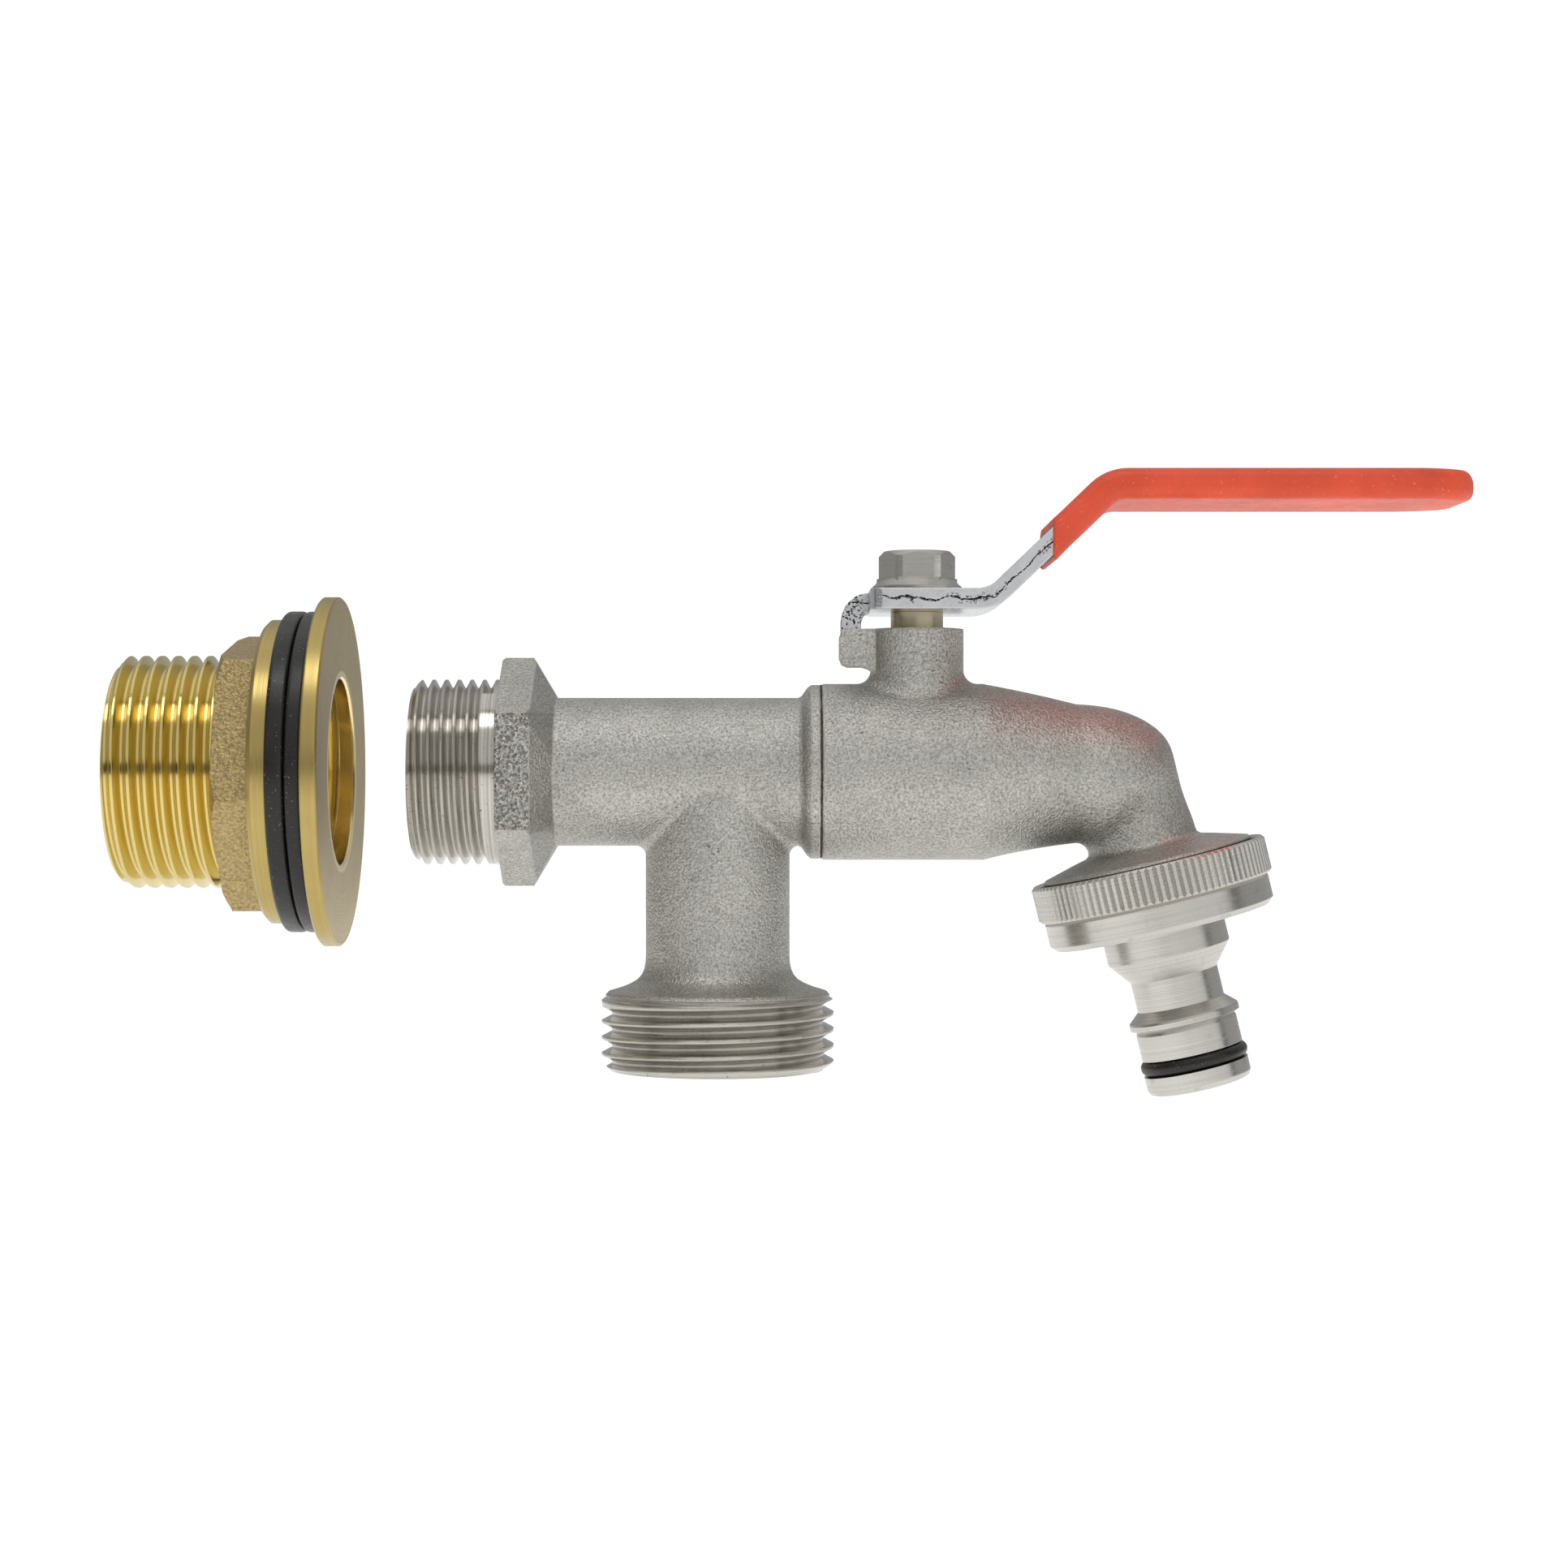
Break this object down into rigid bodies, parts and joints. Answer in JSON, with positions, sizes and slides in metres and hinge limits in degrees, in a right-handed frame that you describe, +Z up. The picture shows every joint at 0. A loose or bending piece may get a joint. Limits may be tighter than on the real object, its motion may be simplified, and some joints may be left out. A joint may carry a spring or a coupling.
{
  "type": "hose bib",
  "caption": "Quarter-turn ball valve tap with a threaded side branch, a click-hose adapter on its bent spout, a red lever and a gasketed brass tank fitting.",
  "frame": {"origin": "centre of the inlet's end face, on the tap's axis", "axes": "+X along the tap from the inlet to the spout, +Z up"},
  "size_m": [0.1928, 0.05, 0.089],
  "materials": {
    "cast_nickel": "bead-blasted satin nickel",
    "ptfe": "smooth white",
    "chromed_ball": "polished",
    "brass_stem": "turned",
    "black_rubber": "matt",
    "zinc_steel": "bright plated",
    "red_vinyl": "semi-gloss dipped",
    "nickel_nut": "satin",
    "turned_nickel": "turned satin",
    "brass": "turned and bead-blasted"
  },
  "bodies": {
    "tap": {"tee_body": "cast_nickel", "spout_body": "cast_nickel", "body_seal": "ptfe", "seat_inlet": "ptfe", "seat_outlet": "ptfe"},
    "valve": {"lever": "zinc_steel", "lever_sleeve": "red_vinyl", "lever_nut": "nickel_nut", "stem": "brass_stem", "ball": "chromed_ball", "thrust_washer": "ptfe", "stem_o_ring_lower": "black_rubber", "stem_o_ring_upper": "black_rubber"},
    "outer_gasket": {"outer_gasket": "black_rubber"},
    "flange": {"tank_flange": "brass"},
    "inner_gasket": {"inner_gasket": "black_rubber"},
    "connector": {"tank_connector": "brass"},
    "adapter_washer": {"adapter_washer": "black_rubber"},
    "adapter": {"hose_adapter": "turned_nickel", "plug_o_ring": "black_rubber"}
  },
  "joints": [
    {"name": "lever_turn", "type": "hinge", "parent": "tap", "child": "valve", "pos_m": [0.07185, 0, 0.0228], "axis": [0, 0, 1], "range_deg": [-90, 0]},
    {"name": "fitting_advance", "type": "slide", "parent": "tap", "child": "outer_gasket", "axis": [1, 0, 0], "range_m": [0, 0.0227]},
    {"name": "flange_screw", "type": "hinge", "parent": "outer_gasket", "child": "flange", "pos_m": [-0.01055, 0, 0], "axis": [1, 0, 0], "range_deg": [0, 4500]},
    {"name": "connector_retreat", "type": "slide", "parent": "flange", "child": "inner_gasket", "axis": [1, 0, 0], "range_m": [-0.00505, 0]},
    {"name": "connector_screw", "type": "hinge", "parent": "inner_gasket", "child": "connector", "pos_m": [-0.0181, 0, 0], "axis": [1, 0, 0], "range_deg": [-1200, 0]},
    {"name": "adapter_retreat", "type": "slide", "parent": "tap", "child": "adapter_washer", "axis": [0.2334, 0, -0.9724], "range_m": [0, 0.0081]},
    {"name": "adapter_screw", "type": "hinge", "parent": "adapter_washer", "child": "adapter", "pos_m": [0.1048, 0, -0.0128], "axis": [0.2334, 0, -0.9724], "range_deg": [0, 1600]}
  ],
  "couplings": [
    {"joint": "fitting_advance", "follows": "flange_screw", "m_per_rad": 0.00028871},
    {"joint": "connector_retreat", "follows": "connector_screw", "m_per_rad": 0.00023873},
    {"joint": "adapter_retreat", "follows": "adapter_screw", "m_per_rad": 0.00028871}
  ]
}
